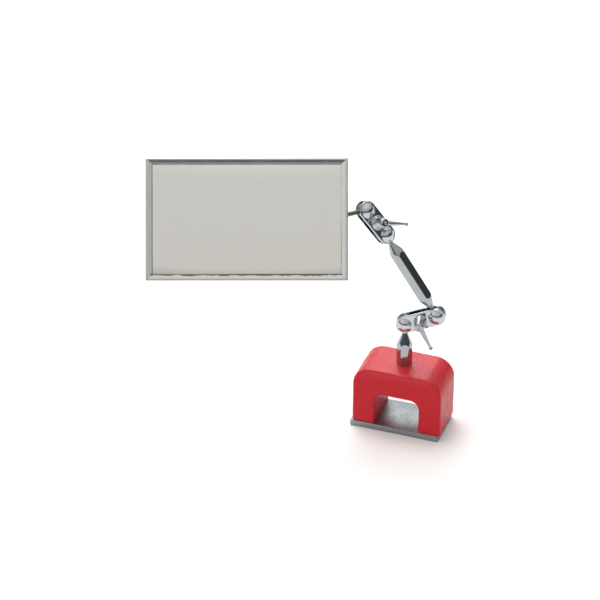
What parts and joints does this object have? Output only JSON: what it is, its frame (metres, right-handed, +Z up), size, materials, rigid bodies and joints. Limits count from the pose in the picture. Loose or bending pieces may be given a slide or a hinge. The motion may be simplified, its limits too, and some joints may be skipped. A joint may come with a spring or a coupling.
{
  "type": "magnetic base inspection mirror",
  "caption": "Framed flat mirror on a jointed arm of ball clamps with lever nuts and a hexagonal rod, standing on a red horseshoe magnet with a steel keeper.",
  "frame": {"origin": "on the keeper's underside, on the axis of the stud that stands on the magnet's crown", "axes": "+Z up along the base stud; +X along the magnet's width; the magnet's broad front face looks along -Y, and the mirror stands up and to -X of the base, facing -Y, +X and up"},
  "size_m": [0.1326, 0.0731, 0.1373],
  "materials": {
    "magnet_paint": "gloss",
    "keeper_steel": "satin",
    "stem_chrome": "polished",
    "clamp_chrome": "polished",
    "lever_chrome": "polished",
    "fixing_steel": "satin",
    "rod_steel": "satin",
    "bracket_steel": "satin",
    "tray_chrome": "polished",
    "backing_board": "matte",
    "silvered_glass": "polished"
  },
  "bodies": {
    "base": {"horseshoe_magnet": "magnet_paint", "base_stud": "stem_chrome", "base_fixing_screw": "fixing_steel", "base_lock_washer": "fixing_steel"},
    "keeper": {"keeper_plate": "keeper_steel"},
    "base_ball": {"base_ball": "stem_chrome"},
    "lower_clamp": {"lower_rear_plate": "clamp_chrome", "lower_clamp_screw": "lever_chrome"},
    "lower_front": {"lower_front_plate": "clamp_chrome"},
    "lower_lever": {"lower_lever_hub": "lever_chrome", "lower_lever": "lever_chrome"},
    "arm_lower_ball": {"arm_lower_ball": "stem_chrome"},
    "arm": {"hex_arm": "stem_chrome"},
    "arm_upper_ball": {"arm_upper_ball": "stem_chrome"},
    "upper_clamp": {"upper_rear_plate": "clamp_chrome", "upper_clamp_screw": "lever_chrome"},
    "upper_front": {"upper_front_plate": "clamp_chrome"},
    "upper_lever": {"upper_lever_hub": "lever_chrome", "upper_lever": "lever_chrome"},
    "mirror_ball": {"mirror_ball": "stem_chrome"},
    "mirror": {"mirror_stud": "rod_steel", "stud_bracket": "bracket_steel", "bracket_rivets": "bracket_steel", "mirror_frame": "tray_chrome", "backing_pad": "backing_board", "mirror_glass": "silvered_glass"}
  },
  "joints": [
    {"name": "keeper_slide", "type": "slide", "parent": "base", "child": "keeper", "axis": [0, 1, 0], "range_m": [0, 0.03]},
    {"name": "base_ball_spin", "type": "hinge", "parent": "base", "child": "base_ball", "pos_m": [0, 0, 0.0541], "axis": [0, 0, 1], "continuous": true},
    {"name": "lower_clamp_swing", "type": "hinge", "parent": "base_ball", "child": "lower_clamp", "pos_m": [0, 0, 0.0541], "axis": [0.1959, -0.9806, 0], "range_deg": [-35, 60]},
    {"name": "lower_plate_lift", "type": "slide", "parent": "lower_clamp", "child": "lower_front", "axis": [0.1959, -0.9806, 0], "range_m": [0, 0.000525]},
    {"name": "lower_lever_turn", "type": "hinge", "parent": "lower_front", "child": "lower_lever", "pos_m": [0.00694, 0.00139, 0.05686], "axis": [0.1959, -0.9806, 0], "range_deg": [0, 270]},
    {"name": "arm_lower_swing", "type": "hinge", "parent": "lower_clamp", "child": "arm_lower_ball", "pos_m": [0.01389, 0.00277, 0.05962], "axis": [0.1959, -0.9806, 0], "range_deg": [-75, 10]},
    {"name": "arm_lower_spin", "type": "hinge", "parent": "arm_lower_ball", "child": "arm", "pos_m": [0.01389, 0.00277, 0.05962], "axis": [-0.5051, -0.1009, 0.8572], "range_deg": [-90, 90]},
    {"name": "arm_upper_spin", "type": "hinge", "parent": "arm", "child": "arm_upper_ball", "pos_m": [-0.00985, -0.00197, 0.09991], "axis": [-0.5051, -0.1009, 0.8572], "range_deg": [-90, 90]},
    {"name": "upper_clamp_swing", "type": "hinge", "parent": "arm_upper_ball", "child": "upper_clamp", "pos_m": [-0.00985, -0.00197, 0.09991], "axis": [0.7558, -0.5313, 0.3827], "range_deg": [-90, 45]},
    {"name": "upper_plate_lift", "type": "slide", "parent": "upper_clamp", "child": "upper_front", "axis": [0.7558, -0.5313, 0.3827], "range_m": [0, 0.000525]},
    {"name": "upper_lever_turn", "type": "hinge", "parent": "upper_front", "child": "upper_lever", "pos_m": [-0.014, -0.00341, 0.10611], "axis": [0.7558, -0.5313, 0.3827], "range_deg": [0, 270]},
    {"name": "mirror_swing", "type": "hinge", "parent": "upper_clamp", "child": "mirror_ball", "pos_m": [-0.01816, -0.00485, 0.11231], "axis": [0.7558, -0.5313, 0.3827], "range_deg": [-60, 45]},
    {"name": "mirror_spin", "type": "hinge", "parent": "mirror_ball", "child": "mirror", "pos_m": [-0.01816, -0.00485, 0.11231], "axis": [-0.6029, -0.7927, 0.0901], "range_deg": [-120, 120]}
  ],
  "couplings": [
    {"joint": "lower_lever_turn", "follows": "lower_plate_lift", "rad_per_m": 8976},
    {"joint": "upper_lever_turn", "follows": "upper_plate_lift", "rad_per_m": 8976}
  ]
}
